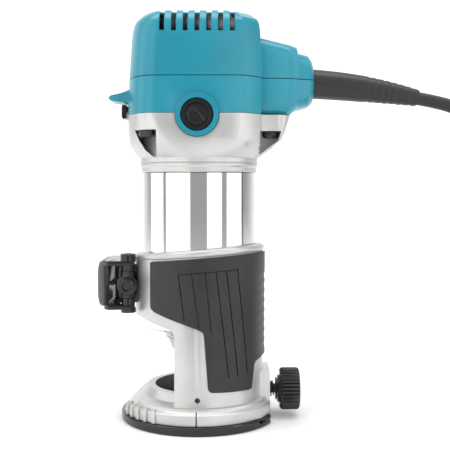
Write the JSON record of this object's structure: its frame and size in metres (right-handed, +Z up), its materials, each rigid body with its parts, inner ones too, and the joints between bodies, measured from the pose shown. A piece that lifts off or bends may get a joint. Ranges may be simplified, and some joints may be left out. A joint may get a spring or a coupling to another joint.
{
  "type": "trim router",
  "caption": "Compact trim router: teal motor head, polished motor drum in a clamping cast base with grip pad, lock lever, guide clamp knob and a coiled mains lead.",
  "frame": {"origin": "on the sole's plane, under the middle of the tool's box without its cord; the spindle's axis is 3.55 mm towards -X of it", "axes": "+Z up along the spindle, +X towards the cord and the guide clamp, -Y towards the side with the grip pad's slanted edge"},
  "size_m": [0.3208, 0.1049, 0.2275],
  "materials": {
    "cast_aluminium": "satin cast",
    "polished_aluminium": "polished turned drum below a satin cast bracket",
    "steel": "turned",
    "black_steel": "blackened",
    "teal_plastic": "fine satin grain",
    "black_plastic": "semi-gloss moulded",
    "grey_plastic": "satin moulded",
    "grip_rubber": "fine-grained elastomer",
    "cord_rubber": "smooth",
    "copper": "bare or enamelled copper",
    "lamination": "stacked sheet",
    "brass": "plain",
    "carbon": "pressed carbon",
    "circuit_board": "coated board"
  },
  "bodies": {
    "motor": {"motor_housing": "polished_aluminium", "housing_body": "teal_plastic", "top_cover": "teal_plastic", "housing_screw_1": "black_steel", "housing_screw_2": "black_steel", "housing_screw_3": "black_steel", "housing_screw_4": "black_steel", "brush_cap_front": "black_plastic", "brush_holder_front": "brass", "brush_front": "carbon", "brush_spring_front": "steel", "brush_cap_rear": "black_plastic", "brush_holder_rear": "brass", "brush_rear": "carbon", "brush_spring_rear": "steel", "field_core": "lamination", "field_coils": "copper", "air_baffle": "black_plastic", "lower_bearing": "steel", "bearing_retainer": "steel", "upper_bearing": "steel", "bearing_bridge": "black_plastic", "switch_body": "black_plastic", "speed_board": "circuit_board", "lock_spring": "steel", "cord_guard": "cord_rubber", "cord_clamp": "black_plastic", "power_cord": "cord_rubber", "cord_coil": "cord_rubber", "mains_plug": "cord_rubber", "plug_pins": "brass"},
    "base": {"base_casting": "cast_aluminium", "sub_base": "black_plastic", "sole_screw_1": "steel", "sole_screw_2": "steel", "sole_screw_3": "steel", "sole_screw_4": "steel", "grip_pad": "grip_rubber", "clamp_bolt": "black_steel", "clamp_nut": "black_steel", "lever_pin": "black_steel", "guide_spring": "black_steel"},
    "lever": {"lock_lever": "black_plastic", "lever_paddle": "grey_plastic"},
    "guide_clamp_washer": {"guide_washer": "black_steel"},
    "guide_clamp_knob": {"guide_knob": "black_plastic", "guide_stud": "black_steel"},
    "depth_pinion": {"depth_pinion": "steel", "depth_knob": "black_plastic"},
    "spindle": {"spindle": "steel", "armature_core": "lamination", "armature_windings": "copper", "commutator": "copper", "cooling_fan": "black_plastic"},
    "collet": {"collet_cone": "steel"},
    "collet_nut": {"collet_nut": "steel"},
    "rocker": {"switch_rocker": "black_plastic"},
    "dial": {"speed_dial": "black_plastic"},
    "spindle_lock": {"lock_button": "black_plastic"}
  },
  "joints": [
    {"name": "depth_slide", "type": "slide", "parent": "motor", "child": "base", "axis": [0, 0, 1], "range_m": [-0.004, 0.033]},
    {"name": "pinion_turn", "type": "hinge", "parent": "base", "child": "depth_pinion", "pos_m": [-0.00355, 0.0355, 0.078], "axis": [1, 0, 0], "range_deg": [-58, 474]},
    {"name": "lock_lever_swing", "type": "hinge", "parent": "base", "child": "lever", "pos_m": [-0.04275, -0.015, 0.0774], "axis": [0, 0, 1], "range_deg": [0, 100]},
    {"name": "guide_clamp_turn", "type": "hinge", "parent": "guide_clamp_washer", "child": "guide_clamp_knob", "pos_m": [0.03665, 0, 0.0151], "axis": [1, 0, 0], "range_deg": [0, 720]},
    {"name": "guide_clamp_travel", "type": "slide", "parent": "base", "child": "guide_clamp_washer", "axis": [1, 0, 0], "range_m": [0, 0.002], "deforming": ["guide_spring"]},
    {"name": "spindle_spin", "type": "hinge", "parent": "motor", "child": "spindle", "pos_m": [-0.00355, 0, 0.0525], "axis": [0, 0, 1], "continuous": true},
    {"name": "collet_travel", "type": "slide", "parent": "spindle", "child": "collet", "axis": [0, 0, -1], "range_m": [0, 0.0015]},
    {"name": "collet_nut_turn", "type": "hinge", "parent": "collet", "child": "collet_nut", "pos_m": [-0.00355, 0, 0.0255], "axis": [0, 0, -1], "range_deg": [0, 360]},
    {"name": "switch_rock", "type": "hinge", "parent": "motor", "child": "rocker", "pos_m": [-0.04355, 0, 0.1752], "axis": [0, 1, 0], "range_deg": [0, 8]},
    {"name": "speed_dial_turn", "type": "hinge", "parent": "motor", "child": "dial", "pos_m": [-0.01555, 0.0285, 0.203], "axis": [0, 0, 1], "range_deg": [0, 270]},
    {"name": "spindle_lock_press", "type": "slide", "parent": "motor", "child": "spindle_lock", "axis": [0.5299, -0.848, 0], "range_m": [0, 0.0026], "stiffness_N_per_m": 400, "springref_m": -0.002, "deforming": ["lock_spring"]}
  ],
  "couplings": [
    {"joint": "pinion_turn", "follows": "depth_slide", "rad_per_m": 250},
    {"joint": "guide_clamp_travel", "follows": "guide_clamp_turn", "m_per_rad": 0.00015915},
    {"joint": "collet_travel", "follows": "collet_nut_turn", "m_per_rad": 0.00023873}
  ]
}
